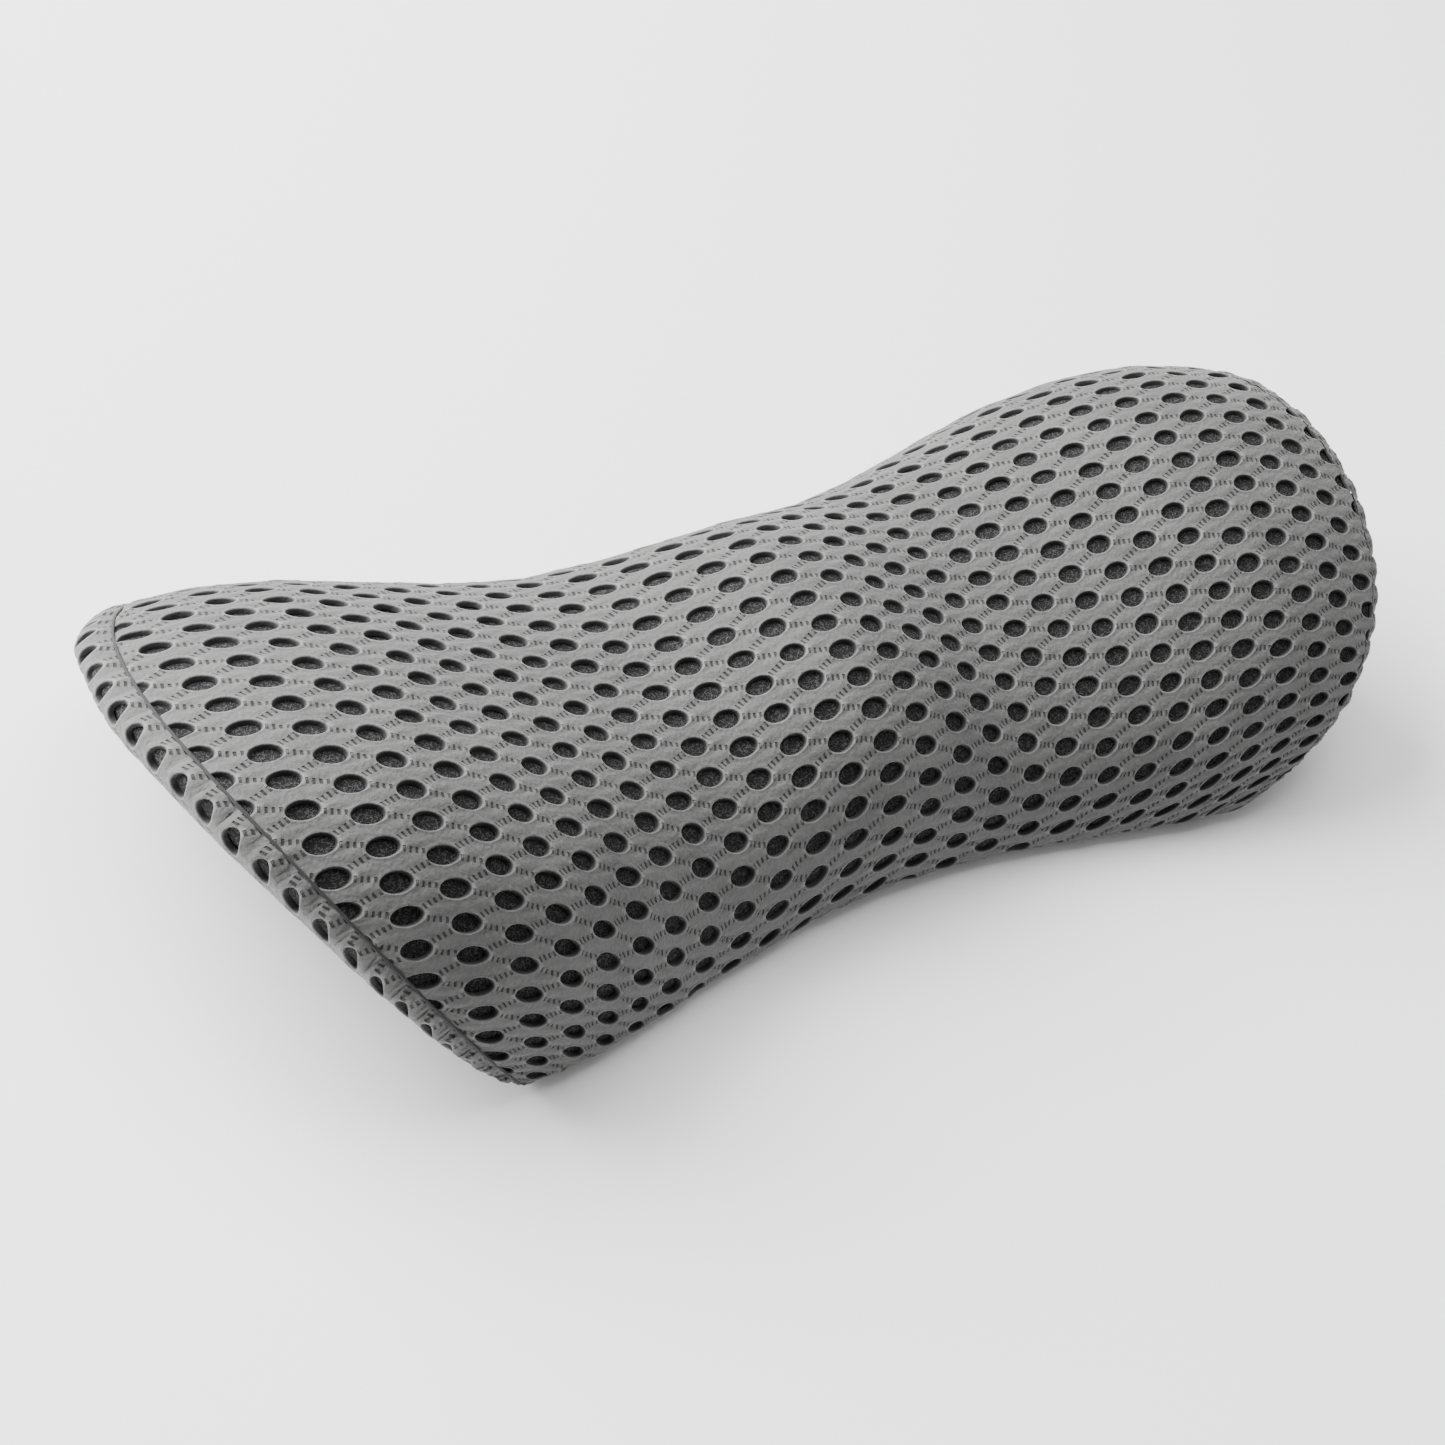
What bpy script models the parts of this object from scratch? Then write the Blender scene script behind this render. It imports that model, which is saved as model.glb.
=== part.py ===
"""Lumbar support cushion: a contoured foam block in a zipped cover of spacer mesh.

Run with: blender --background --python part.py
The long axis is X, the cushion rests flat on the XY plane, and its middle is the origin.
All sizes are in metres.
"""
import math

import bmesh
import bpy
from mathutils import Matrix, Vector

# Outer shape of the stuffed cover.
HALF_LENGTH = 0.200
CENTRE_HEIGHT = 0.059
VALLEY_HEIGHT = 0.049
LOBE_HEIGHT = 0.072
END_HEIGHT = 0.070
VALLEY_AT = 0.0575
LOBE_AT = 0.175
WAIST_WIDTH = 0.120
LOBE_WIDTH = 0.152
END_WIDTH = 0.154
WIDEST_AT = 0.160
ROUNDNESS_MIDDLE = 2.29
ROUNDNESS_END = 2.14
SHOULDER = 0.082
UNDERCUT = 0.007
END_LEAN = 0.070
LEAN_POWER = 2.56
END_BULGE = 0.0176
END_SHIFT = -0.009
LEFT_FULLNESS = 0.011
FULL_WIDTH = 0.080
BULGE_TILT = 0.37
SIDE_OFFSET = 0.0036
END_SPREAD = 0.94
TWIST = 0.213
FLAT_BELOW = 0.007
BULGE_RISE = 0.6
BASE_REACH = 0.140

# Layers, from the outside in.
COVER_THICKNESS = 0.004
LINER_THICKNESS = 0.0008
LAYER_GAP = 0.0006
SEAM_GAP = 0.0004
LINER_OUTSIDE = COVER_THICKNESS + LAYER_GAP
LINER_INSIDE = LINER_OUTSIDE + LINER_THICKNESS
CORE_OUTSIDE = LINER_INSIDE + LAYER_GAP

# Grid over the outer shape.
STATIONS = 32
STEPS_OVER = 10
STEPS_UNDER = 3
END_ROWS = 5
WELD_DISTANCE = 0.00002
SHARP_ANGLE = math.radians(40)

# Zip along the underside, from end to end. Levels are heights above the base.
CHANNEL_WIDTH = 0.014
HEM_WIDTH = 0.004
HEM_HEIGHT = 0.008
HEM_LENGTH = 0.244
TROUGH_WIDTH = 0.031
TROUGH_LEVEL = 0.0117
TROUGH_LENGTH = 0.242
TAPE_LENGTH = 0.240
TAPE_LEVEL = 0.0083
TAPE_THICKNESS = 0.0006
TAPE_INNER = 0.0035
TAPE_OUTER = 0.0135
COIL_START = -0.1150
COIL_END = 0.1005
COIL_INNER = 0.0009
COIL_OUTER = 0.0032
COIL_LEVEL = 0.0075
COIL_HEIGHT = 0.0022
STOP_LENGTH = 0.003
STOP_GAP = 0.0005

# Slider, wrapped round the coils with its bridge below, and the puller on the bridge.
SLIDER_START = -0.1085
SLIDER_LENGTH = 0.011
SLIDER_WIDTH = 0.0104
SLIDER_LEVEL = 0.0062
SLIDER_HEIGHT = 0.0048
PLATE_THICKNESS = 0.0009
FLANGE_WIDTH = 0.0008
TAPE_SLOT = 0.0013
WEDGE_WIDTH = 0.0010
WEDGE_LENGTH = 0.0035
BRIDGE_WIDTH = 0.0018
BRIDGE_LENGTH = 0.008
BRIDGE_LEVEL = 0.0030
BRIDGE_THICKNESS = 0.0009
PIVOT_LEVEL = 0.0049
PIN_RADIUS = 0.00059
PULL_WIDTH = 0.0068
PULL_THICKNESS = 0.0012
PULL_SLOT_WIDTH = 0.0036
PULL_SLOT_END = 0.0062
PULL_HEEL = 0.0009
PULL_LENGTH = 0.026
PIN_LENGTH = 0.0052
PIN_SIDES = 12
OVERLAP = 0.0002


def clear_scene():
    for leftover in list(bpy.data.objects):
        bpy.data.objects.remove(leftover)


def make_material(name, colour, roughness, metallic=0.0):
    material = bpy.data.materials.new(name)
    material.use_nodes = True
    shader = material.node_tree.nodes["Principled BSDF"]
    shader.inputs["Base Color"].default_value = (*colour, 1.0)
    shader.inputs["Roughness"].default_value = roughness
    shader.inputs["Metallic"].default_value = metallic
    return material


def make_object(name, shape, material, parent=None):
    """Turn a bmesh into an object with outward, triangulated faces."""
    bmesh.ops.recalc_face_normals(shape, faces=shape.faces)
    bmesh.ops.triangulate(shape, faces=[face for face in shape.faces if len(face.verts) > 3])
    mesh = bpy.data.meshes.new(name)
    shape.to_mesh(mesh)
    shape.free()
    made = bpy.data.objects.new(name, mesh)
    made.data.materials.append(material)
    made.parent = parent
    bpy.context.scene.collection.objects.link(made)
    return made


def smooth(made):
    made.data.shade_smooth()
    made.data.set_sharp_from_angle(angle=SHARP_ANGLE)
    return made


# ---------------------------------------------------------------- outer shape

def level_curve(x, knots):
    """Smooth curve through (position, value) knots, level at each of them."""
    for (x0, v0), (x1, v1) in zip(knots, knots[1:]):
        if x <= x1:
            break
    t = min(max((x - x0) / (x1 - x0), 0.0), 1.0)
    return v0 + (v1 - v0) * t * t * (3.0 - 2.0 * t)


def crown_height(x):
    """Height of the ridge line: centre bump, valley, lobe, end."""
    return level_curve(abs(x), ((0.0, CENTRE_HEIGHT), (VALLEY_AT, VALLEY_HEIGHT),
                                (LOBE_AT, LOBE_HEIGHT), (HALF_LENGTH, END_HEIGHT)))


def half_width(x):
    """Half of the plan width: a waist in the middle, a lobe towards each end."""
    return level_curve(abs(x), ((0.0, WAIST_WIDTH / 2), (WIDEST_AT, LOBE_WIDTH / 2),
                                (HALF_LENGTH, END_WIDTH / 2)))


def columns():
    """(side, stretch, angle) from the near base edge over the ridge to the far base edge."""
    over = [("over", math.pi / 2 * step / STEPS_OVER) for step in range(STEPS_OVER + 1)]
    under = [("under", math.pi / 2 * step / STEPS_UNDER) for step in range(1, STEPS_UNDER + 1)]
    half = over + under
    near = [(-1, *entry) for entry in reversed(half)]
    return near + [(1, *entry) for entry in half[1:]]


def section_point(x, column, depth):
    """Point of the cross-section that crosses the ridge at x, on the surface at a depth inside.

    Sections lean inwards towards the base, more so near the ends, so the end seam lies on a
    sloping plane. The second result is the point's share of the height.
    """
    side, stretch, angle = column
    reach = abs(x) / HALF_LENGTH
    height = crown_height(x) - 2.0 * depth
    width = half_width(x) - depth
    shoulder = SHOULDER * height
    power = 2.0 / (ROUNDNESS_MIDDLE + (ROUNDNESS_END - ROUNDNESS_MIDDLE) * reach ** 4)
    if stretch == "over":
        y = width * math.sin(angle) ** power
        z = shoulder + (height - shoulder) * max(math.cos(angle), 0.0) ** power
    else:
        y = width - UNDERCUT * (1.0 - math.cos(angle))
        z = shoulder * (1.0 - math.sin(angle))
    share = z / height
    lean = END_LEAN * (1.0 - share) * reach ** LEAN_POWER
    ridge = x * (1.0 - depth / HALF_LENGTH)
    return Vector((ridge - math.copysign(lean, x), side * y, depth + z)), share


def body_point(x, column, depth):
    return settled(section_point(x, column, depth)[0])


def end_point(end, drop, column, depth):
    """Point of an end, from its seam (drop 0) down to the straight base edge (drop 1)."""
    seam, share = section_point(end * HALF_LENGTH, column, depth)
    inward = END_LEAN * share * drop
    tilt = 1.0 + BULGE_TILT * seam.y / (END_WIDTH / 2)
    outward = END_BULGE * tilt * math.sin(math.pi * drop ** BULGE_RISE) * math.sqrt(share)
    side, stretch, angle = column
    power = 2.0 / ROUNDNESS_END
    spread = END_SPREAD * math.sin(angle) ** power
    if stretch == "under":
        spread = END_SPREAD + (1.0 - END_SPREAD) * math.sin(angle)
    foot = side * (END_WIDTH / 2 - depth - UNDERCUT) * spread
    y = seam.y + (foot - seam.y) * drop
    z = depth + (seam.z - depth) * (1.0 - drop)
    return settled(Vector((seam.x + end * (outward - inward), y, z)))


def settled(point):
    """The cushion is twisted, its ends lie off to one side, and its left end is fuller behind."""
    along = point.x / HALF_LENGTH
    height = crown_height(min(abs(point.x), HALF_LENGTH))
    rise = max(point.z - FLAT_BELOW, 0.0) / (height - FLAT_BELOW)
    lift = TWIST * point.y * along * min(rise, 1.0)
    fullness = LEFT_FULLNESS * max(point.y / FULL_WIDTH, 0.0) ** 2 * max(-along, 0.0)
    side = point.y + END_SHIFT * along ** 3 + fullness - SIDE_OFFSET
    return Vector((point.x, side, point.z + lift))


def body_row(x, depth, cols):
    return [body_point(x, column, depth) for column in cols]


def end_row(end, drop, depth, cols):
    return [end_point(end, drop, column, depth) for column in cols]


def body_rows(depth, cols):
    step = 2.0 * HALF_LENGTH / STATIONS
    return [body_row(-HALF_LENGTH + step * station, depth, cols) for station in range(STATIONS + 1)]


def end_rows(end, depth, cols, first=1):
    """Rows of one end from the seam down, or without the seam row."""
    return [end_row(end, row / END_ROWS, depth, cols) for row in range(first, END_ROWS + 1)]


def whole_rows(depth, cols):
    """Rows over one end, along the body and down the other end."""
    return end_rows(-1, depth, cols)[::-1] + body_rows(depth, cols) + end_rows(1, depth, cols)


def base_outline(depth, gap):
    """Edge of the flat base, anticlockwise from above, drawn in by a gap."""
    cols = columns()
    rows = whole_rows(depth, cols)
    ends = rows[0][::-1]
    near = [row[0] for row in rows]
    far = [row[-1] for row in rows][::-1]
    loop = near + rows[-1] + far + ends
    shrink = Matrix.Diagonal((1.0 - gap / BASE_REACH, 1.0 - gap / (WAIST_WIDTH / 2), 1.0))
    outline = []
    for point in loop:
        inner = shrink @ point
        if not outline or (inner - outline[-1]).length > OVERLAP:
            outline.append(inner)
    return outline


# ---------------------------------------------------------------- solid builders

def grid_faces(shape, rows):
    """Quads between rows of vertices, split along the same diagonal on every layer."""
    for upper, lower in zip(rows, rows[1:]):
        for corner in range(len(upper) - 1):
            a, b = upper[corner], upper[corner + 1]
            c, d = lower[corner + 1], lower[corner]
            shape.faces.new((a, b, c))
            shape.faces.new((a, c, d))


def add_rows(shape, rows):
    return [[shape.verts.new(point) for point in row] for row in rows]


def weld(shape):
    bmesh.ops.remove_doubles(shape, verts=shape.verts, dist=WELD_DISTANCE)
    bmesh.ops.dissolve_degenerate(shape, edges=shape.edges, dist=WELD_DISTANCE)


def sheet(outer_rows, inner_rows):
    """Closed sheet between an outer and an inner grid of the same size."""
    shape = bmesh.new()
    outer = add_rows(shape, outer_rows)
    inner = add_rows(shape, inner_rows)
    grid_faces(shape, outer)
    grid_faces(shape, inner)
    rims = ((outer[0], inner[0]), (outer[-1], inner[-1]),
            ([row[0] for row in outer], [row[0] for row in inner]),
            ([row[-1] for row in outer], [row[-1] for row in inner]))
    for outer_edge, inner_edge in rims:
        grid_faces(shape, [outer_edge, inner_edge])
    weld(shape)
    return shape


def slab(lower, upper):
    """Closed slab between two outlines with the same number of points."""
    shape = bmesh.new()
    bottom, top = add_rows(shape, (lower, upper))
    shape.faces.new(bottom)
    shape.faces.new(top)
    grid_faces(shape, [bottom + bottom[:1], top + top[:1]])
    return shape


def block(low, high):
    """Box between two corners."""
    shape = bmesh.new()
    bmesh.ops.create_cube(shape, size=1.0)
    low, high = Vector(low), Vector(high)
    for vert in shape.verts:
        vert.co = Vector(((low[axis] + high[axis]) / 2 + vert.co[axis] * (high[axis] - low[axis])
                          for axis in range(3)))
    return shape


def combine(target, shapes, operation):
    """Boolean each shape into the target with the exact solver, and keep the result."""
    for number, shape in enumerate(shapes):
        tool = make_object(target.name + "_tool" + str(number), shape, target.data.materials[0])
        tool.hide_render = True
        tool.display_type = "WIRE"
        step = target.modifiers.new(operation.lower(), "BOOLEAN")
        step.operation = operation
        step.solver = "EXACT"
        step.object = tool
        bpy.context.view_layer.update()
        evaluated = target.evaluated_get(bpy.context.evaluated_depsgraph_get())
        mesh = bpy.data.meshes.new_from_object(evaluated)
        target.modifiers.clear()
        target.data = mesh
        bpy.data.objects.remove(tool)
    return target


# ---------------------------------------------------------------- soft parts

def build_foam_core(material):
    cols = columns()
    shape = bmesh.new()
    rows = add_rows(shape, whole_rows(CORE_OUTSIDE, cols))
    grid_faces(shape, rows)
    weld(shape)
    rim = [edge for edge in shape.edges if edge.is_boundary]
    bmesh.ops.contextual_create(shape, geom=rim)
    core = make_object("foam_core", shape, material)
    half = TROUGH_WIDTH / 2 + LINER_THICKNESS + LAYER_GAP
    top = TROUGH_LEVEL + LINER_THICKNESS + LAYER_GAP
    groove = block((-HALF_LENGTH, -half, -CORE_OUTSIDE), (HALF_LENGTH, half, top))
    return smooth(combine(core, [groove], "DIFFERENCE"))


def build_liner_top(material):
    cols = columns()
    shape = sheet(whole_rows(LINER_OUTSIDE, cols), whole_rows(LINER_INSIDE, cols))
    return smooth(make_object("liner_top", shape, material))


def build_liner_bottom(material):
    shape = slab(base_outline(LINER_OUTSIDE, SEAM_GAP), base_outline(LINER_INSIDE, SEAM_GAP))
    liner = make_object("liner_bottom", shape, material)
    half = TROUGH_WIDTH / 2
    wall = half + LINER_THICKNESS
    end = TROUGH_LENGTH / 2
    ridge = block((-end, -wall, LINER_OUTSIDE), (end, wall, TROUGH_LEVEL + LINER_THICKNESS))
    hollow = block((-HALF_LENGTH, -half, 0.0), (HALF_LENGTH, half, TROUGH_LEVEL))
    combine(liner, [ridge], "UNION")
    return combine(liner, [hollow], "DIFFERENCE")


def build_cover_top(material):
    cols = columns()
    shape = sheet(body_rows(0.0, cols), body_rows(COVER_THICKNESS, cols))
    return smooth(make_object("cover_top_panel", shape, material))


def build_cover_bottom(name, side, material):
    """Flat half of the underside, with its edge turned up as a hem along the zip."""
    half = CHANNEL_WIDTH / 2
    shape = slab(base_outline(0.0, SEAM_GAP), base_outline(COVER_THICKNESS, SEAM_GAP))
    panel = make_object(name, shape, material)
    edges = sorted((side * half, -side * HALF_LENGTH))
    waste = block((-HALF_LENGTH, edges[0], -HALF_LENGTH), (HALF_LENGTH, edges[1], HALF_LENGTH))
    combine(panel, [waste], "DIFFERENCE")
    sides = sorted((side * half, side * (half + HEM_WIDTH)))
    hem = block((-HEM_LENGTH / 2, sides[0], 0.0), (HEM_LENGTH / 2, sides[1], HEM_HEIGHT))
    return combine(panel, [hem], "UNION")


def build_end_panel(name, end, material):
    """End panel, hung from the arched seam and tucked in under it."""
    cols = columns()[1:-1]
    outer = end_rows(end, 0.0, cols, first=0)
    inner = end_rows(end, COVER_THICKNESS, cols, first=0)
    shape = sheet(outer, inner)
    bmesh.ops.translate(shape, verts=shape.verts, vec=(end * SEAM_GAP, 0.0, 0.0))
    return smooth(make_object(name, shape, material))


# ---------------------------------------------------------------- zip

def build_mirrored_bar(name, side, inner, outer, start, stop, low, high, material):
    edges = sorted((side * inner, side * outer))
    return make_object(name, block((start, edges[0], low), (stop, edges[1], high)), material)


def build_zip_side(word, side, materials):
    """Tape, coil and top stop on one side of the zip."""
    tape_top = TAPE_LEVEL + TAPE_THICKNESS
    coil_top = COIL_LEVEL + COIL_HEIGHT
    stop_end = COIL_START - STOP_GAP
    build_mirrored_bar("zip_tape_" + word, side, TAPE_INNER, TAPE_OUTER, -TAPE_LENGTH / 2,
                       TAPE_LENGTH / 2, TAPE_LEVEL, tape_top, materials["tape"])
    coil = build_mirrored_bar("zip_coil_" + word, side, COIL_INNER, COIL_OUTER, COIL_START,
                              COIL_END, COIL_LEVEL, coil_top, materials["coil"])
    round_off(coil, COIL_HEIGHT / 4)
    stop = build_mirrored_bar("zip_top_stop_" + word, side, COIL_INNER, COIL_OUTER,
                              stop_end - STOP_LENGTH, stop_end, COIL_LEVEL, coil_top,
                              materials["metal"])
    round_off(stop, COIL_HEIGHT / 6)


def round_off(made, width):
    bevel = made.modifiers.new("rounding", "BEVEL")
    bevel.width = width
    bevel.segments = 2
    bevel.limit_method = "ANGLE"


def build_bottom_stop(material):
    start = COIL_END + STOP_GAP
    top = COIL_LEVEL + COIL_HEIGHT
    shape = block((start, -COIL_OUTER, COIL_LEVEL), (start + STOP_LENGTH, COIL_OUTER, top))
    round_off(make_object("zip_bottom_stop", shape, material), COIL_HEIGHT / 6)


def build_slider(material, parent):
    """Two plates joined by a wedge, flanges that close round the coils, and a bridge below."""
    reach = SLIDER_LENGTH / 2
    half = SLIDER_WIDTH / 2
    top = SLIDER_LEVEL + SLIDER_HEIGHT
    slot_low = SLIDER_LEVEL + (SLIDER_HEIGHT - TAPE_SLOT) / 2
    slot_high = slot_low + TAPE_SLOT
    lower_plate = block((-reach, -half, SLIDER_LEVEL), (reach, half, SLIDER_LEVEL + PLATE_THICKNESS))
    upper_plate = block((-reach, -half, top - PLATE_THICKNESS), (reach, half, top))
    wedge = block((-reach, -WEDGE_WIDTH / 2, SLIDER_LEVEL + OVERLAP),
                  (WEDGE_LENGTH - reach, WEDGE_WIDTH / 2, top - OVERLAP))
    slider = make_object("zip_slider", lower_plate, material)
    flanges = []
    for side in (-1, 1):
        edges = sorted((side * half, side * (half - FLANGE_WIDTH)))
        flanges.append(block((-reach, edges[0], SLIDER_LEVEL), (reach, edges[1], slot_low)))
        flanges.append(block((-reach, edges[0], slot_high), (reach, edges[1], top)))
    bridge = BRIDGE_LENGTH / 2
    span = BRIDGE_WIDTH / 2
    beam_top = BRIDGE_LEVEL + BRIDGE_THICKNESS
    beam = block((-bridge, -span, BRIDGE_LEVEL), (bridge, span, beam_top))
    feet = []
    for end in (-1, 1):
        edges = sorted((end * bridge, end * (bridge - BRIDGE_THICKNESS)))
        feet.append(block((edges[0], -span, BRIDGE_LEVEL), (edges[1], span, SLIDER_LEVEL + OVERLAP)))
    combine(slider, [wedge, upper_plate, *flanges, *feet, beam], "UNION")
    slider.parent = parent
    return slider


def build_pull_tab(material, parent):
    """Flat puller with a slot round the bridge and a pin through it; its origin is the pin's axis."""
    half = PULL_WIDTH / 2
    thick = PULL_THICKNESS / 2
    slot = PULL_SLOT_WIDTH / 2
    plate = block((-PULL_HEEL, -half, -thick), (PULL_LENGTH, half, thick))
    tab = make_object("zip_pull_tab", plate, material)
    window = block((-2 * PULL_HEEL, -slot, -PULL_WIDTH), (PULL_SLOT_END, slot, PULL_WIDTH))
    combine(tab, [window], "DIFFERENCE")
    pin = bmesh.new()
    turn = Matrix.Rotation(math.pi / 2, 4, "X")
    bmesh.ops.create_cone(pin, cap_ends=True, segments=PIN_SIDES, radius1=PIN_RADIUS,
                          radius2=PIN_RADIUS, depth=PIN_LENGTH, matrix=turn)
    combine(tab, [pin], "UNION")
    tab.parent = parent
    return tab


def axis_empty(name, location, parent=None):
    empty = bpy.data.objects.new(name, None)
    empty.location = location
    empty.parent = parent
    bpy.context.scene.collection.objects.link(empty)
    return empty


def main():
    clear_scene()
    mesh_cloth = make_material("mesh_cloth", (0.22, 0.22, 0.22), 0.85)
    knit = make_material("liner_knit", (0.72, 0.72, 0.70), 0.9)
    foam = make_material("foam", (0.82, 0.78, 0.62), 0.95)
    zip_materials = {
        "tape": make_material("zip_tape", (0.05, 0.05, 0.055), 0.8),
        "coil": make_material("zip_coil", (0.04, 0.04, 0.045), 0.4),
        "metal": make_material("zip_metal", (0.25, 0.25, 0.26), 0.35, 1.0),
    }
    build_foam_core(foam)
    build_liner_top(knit)
    build_liner_bottom(knit)
    build_cover_top(mesh_cloth)
    build_cover_bottom("cover_bottom_front", -1, mesh_cloth)
    build_cover_bottom("cover_bottom_rear", 1, mesh_cloth)
    build_end_panel("end_panel_left", -1, mesh_cloth)
    build_end_panel("end_panel_right", 1, mesh_cloth)
    build_zip_side("front", -1, zip_materials)
    build_zip_side("rear", 1, zip_materials)
    build_bottom_stop(zip_materials["metal"])
    slide_axis = axis_empty("slider_path", (SLIDER_START, 0.0, 0.0))
    build_slider(zip_materials["metal"], slide_axis)
    pivot = axis_empty("puller_axis", (0.0, 0.0, PIVOT_LEVEL), slide_axis)
    build_pull_tab(zip_materials["metal"], pivot)


main()
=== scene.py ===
"""Looks of the lumbar cushion: perforated spacer mesh over a stuffed, waisted shape.

Each panel of the cover is a chart: a flat map, in millimetres of fabric, of a curved surface.
The mesh face is laid out flat as a lattice of oval holes, trimmed to the panel's edges, and
then carried onto the surface by the chart. +X runs along the cushion, and Z is up.
"""
import math

import bpy
import numpy as np
from mathutils import Matrix, Vector


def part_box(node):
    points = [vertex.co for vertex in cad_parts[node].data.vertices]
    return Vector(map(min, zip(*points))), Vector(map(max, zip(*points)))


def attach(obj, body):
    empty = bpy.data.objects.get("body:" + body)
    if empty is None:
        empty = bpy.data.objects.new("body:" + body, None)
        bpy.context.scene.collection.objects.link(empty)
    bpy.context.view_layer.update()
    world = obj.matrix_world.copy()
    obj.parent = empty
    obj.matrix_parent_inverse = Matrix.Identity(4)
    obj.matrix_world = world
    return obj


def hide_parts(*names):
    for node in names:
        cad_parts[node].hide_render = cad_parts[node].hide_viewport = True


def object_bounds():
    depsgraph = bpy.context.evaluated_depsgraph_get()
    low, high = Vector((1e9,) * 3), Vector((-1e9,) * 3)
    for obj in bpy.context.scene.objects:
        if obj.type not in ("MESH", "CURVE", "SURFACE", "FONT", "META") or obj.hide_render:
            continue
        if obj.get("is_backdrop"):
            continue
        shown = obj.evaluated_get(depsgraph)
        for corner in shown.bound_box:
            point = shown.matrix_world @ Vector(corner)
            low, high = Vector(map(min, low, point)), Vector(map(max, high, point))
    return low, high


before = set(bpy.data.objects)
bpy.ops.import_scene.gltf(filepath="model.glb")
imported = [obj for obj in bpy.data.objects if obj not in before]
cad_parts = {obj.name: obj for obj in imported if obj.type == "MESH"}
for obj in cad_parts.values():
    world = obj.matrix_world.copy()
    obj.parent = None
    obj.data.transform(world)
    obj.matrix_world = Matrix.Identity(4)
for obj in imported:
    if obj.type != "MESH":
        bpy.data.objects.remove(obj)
cad_low, cad_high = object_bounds()

MM = 0.001

# Outer shape in millimetres, the same driving dimensions as the frame's cover.
HALF_LENGTH = 200.0
CROWN_KNOTS = ((0.0, 59.0), (57.5, 49.0), (175.0, 72.0), (200.0, 70.0))
WIDTH_KNOTS = ((0.0, 60.0), (160.0, 76.0), (200.0, 77.0))
END_HALF_WIDTH = 77.0
ROUNDNESS_MIDDLE = 2.29
ROUNDNESS_END = 2.14
SHOULDER = 0.082
UNDERCUT = 7.0
END_LEAN = 70.0
LEAN_POWER = 2.56
END_BULGE = 17.6
END_SHIFT = -9.0
LEFT_FULLNESS = 11.0
BULGE_TILT = 0.37
SIDE_OFFSET = 3.6
END_SPREAD = 0.94
TWIST = 0.213
FLAT_BELOW = 7.0
FULL_WIDTH = 80.0
BULGE_RISE = 0.6

# Sampling of the charts.
STATIONS = 201
STEPS_OVER = 90
STEPS_UNDER = 16
END_DROPS = 61
OVERHANG = 40.0
CHART_EDGE = 12
END_CHART_EDGE = 8
END_CHART_START = -3.0
END_CHART_SIDES = 2.0
UNDERSIDE_REACH = 150.0
UNDERSIDE_WIDTH = 94.0
UNDERSIDE_START = -2.0
INSIDE_POINT = (0.0, 0.0, 30.0)
PLAIN_STEP = 3.0
LINER_STEP = 6.0
EDGE_STATIONS = 101
EDGE_STEPS = 40
TUBE_SIDES = 6
DOWN = (0.0, 0.0, -1.0)

# Mesh lattice: holes at the corners and centres of a rectangular grid.
PITCH_LONG = 28.0
PITCH_SHORT = 9.27
HOLE_LONG = 4.25
HOLE_SHORT = 2.7
HOLE_SQUARENESS = 1.95
END_HOLE_LONG = 4.0
END_HOLE_SHORT = 2.5
LATTICE_START = (-6.4, 4.7)
END_ROW_START = 8.0
STEPS_PER_SIDE = 6
SIZE_SPREAD = 0.06
PLACE_SPREAD = 0.22
WOBBLE_DEPTH = 0.35
WOBBLE_WAVES = 7
WOBBLE_LENGTHS = (9.0, 30.0)
WOBBLE_SCALE = 0.25
MESH_DEPTH = 1.45
BACKING_DEPTH = 1.5
LINER_DEPTH = 3.4
LINER_INSET = 2.0
LIP_HEIGHT = 0.30
LIP_SCALE = 1.09
THROAT_DEPTH = 0.25
THROAT_SCALE = 0.99
# Share of the painted hole shade at the throat ring.
THROAT_PAINTED_SHADE = 0.35
FLOOR_SCALE = 0.97
PAD_HEIGHT = 0.34
PAD_SHARE = 0.28
PAD_RISE = 0.55
LINK_DIP = 0.30
PAD_LINK_SHARE = 0.35
UNDERSIDE_SHIFT = -0.4

# Seams.
SEAM_INSET = 0.25
SEAM_DIP = 0.9
SHALLOW_DIP = 0.4
SEAM_REACH = 1.3
PUCKER_DEPTH = 0.2
PUCKER_PITCH = 7.5
PUCKER_REACH = 6.0
PUCKER_DRIFT = 1.3
PUCKER_DRIFT_LENGTH = 11.0
THREAD_DEPTH = 0.75
THREAD_RADIUS = 0.45
THREAD_STEP = 1.5
SEAM_ENDS = 5.0

# Underside: hems along the zip, cloth tabs over its ends, stitches and nylon coils.
HEM_PROFILE = ((13.0, 0.15), (12.6, -0.45), (9.0, -0.55), (7.7, -0.45), (7.1, 0.1), (7.0, 1.2),
               (7.0, 6.4), (7.4, 7.9), (11.0, 8.0))
HEM_REACH = 130.0
ZIP_GAP = 7.0
TAB_LEVEL = 8.15
TAB_PROFILE = ((131.0, -0.3), (123.0, -0.3), (121.2, 0.1), (120.4, 1.4), (120.4, TAB_LEVEL))
TAB_INNER_ENDS = {"left": 118.8, "right": 105.0}
TAB_HALF_WIDTH = 7.4
SWEEP_STEP = 2.0
STITCH_PITCH = 3.6
STITCH_LENGTH = 2.7
STITCH_RISE = 0.22
STITCH_RADIUS = 0.24
STITCH_PLACE = 11.4
STITCH_HEIGHT = -0.5
STITCH_POINTS = 7
COIL_WIRE = 0.32
COIL_HOOK = -0.45
COIL_PITCH = 1.31
COIL_POINTS = 12
BASE_EDGE_RADIUS = 0.8


# ---------------------------------------------------------------- the stuffed shape

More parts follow.
